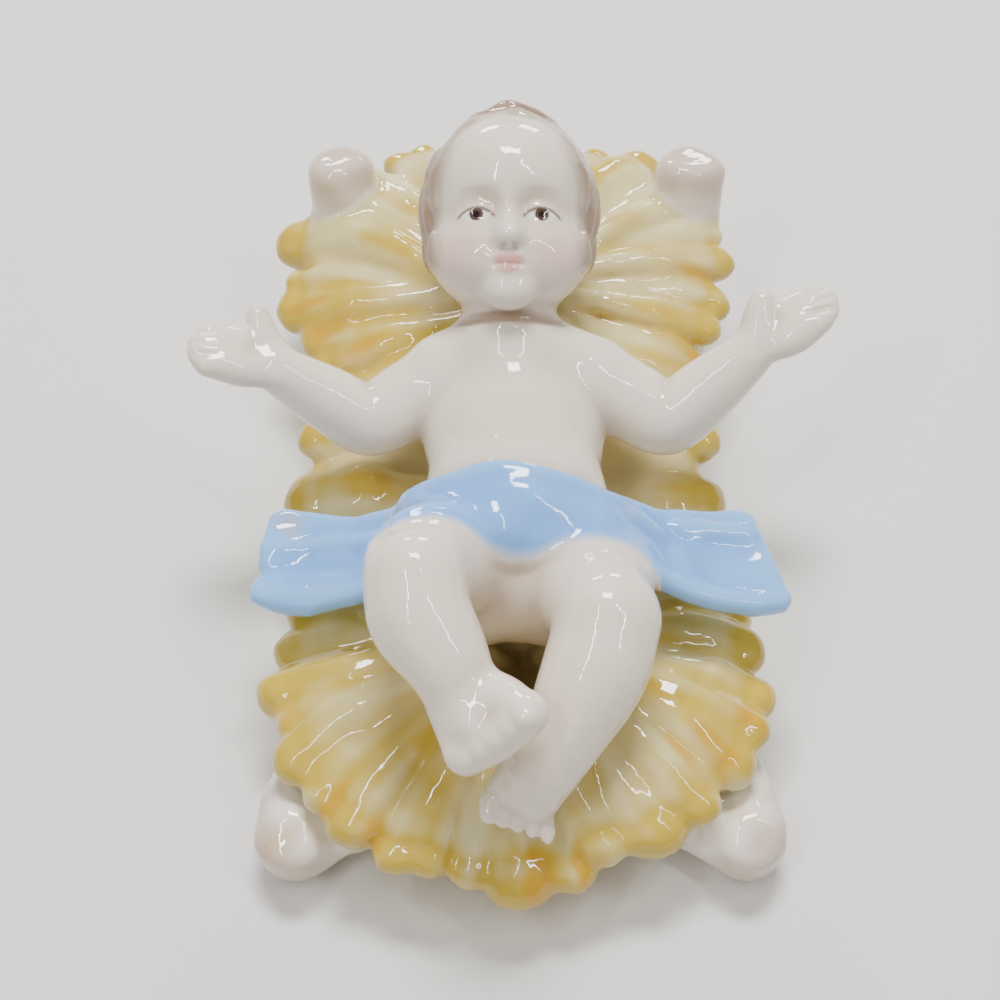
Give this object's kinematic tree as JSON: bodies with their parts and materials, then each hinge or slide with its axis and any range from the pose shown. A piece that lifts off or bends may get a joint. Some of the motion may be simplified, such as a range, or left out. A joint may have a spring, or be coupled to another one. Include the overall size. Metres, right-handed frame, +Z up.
{
  "type": "baby jesus figurine",
  "caption": "Glazed porcelain nativity infant with a blue loincloth, lying in a manger of straw on log legs; stands on a shelf or table as an ornament.",
  "frame": {"origin": "on the ground, under the middle of the whole object's box", "axes": "+Y towards the infant's head, +Z up, +X towards the infant's left hand"},
  "size_m": [0.0946, 0.129, 0.0588],
  "materials": {
    "infant_porcelain": "high gloss clear glaze over cream flesh, with a pale blue loincloth, a thin brown wash for hair and small painted features",
    "straw_porcelain": "high gloss clear glaze over cream straw brushed with yellow and ochre, and pinkish white logs"
  },
  "bodies": {
    "root": {"child_figure": "infant_porcelain", "manger": "straw_porcelain"}
  },
  "joints": []
}
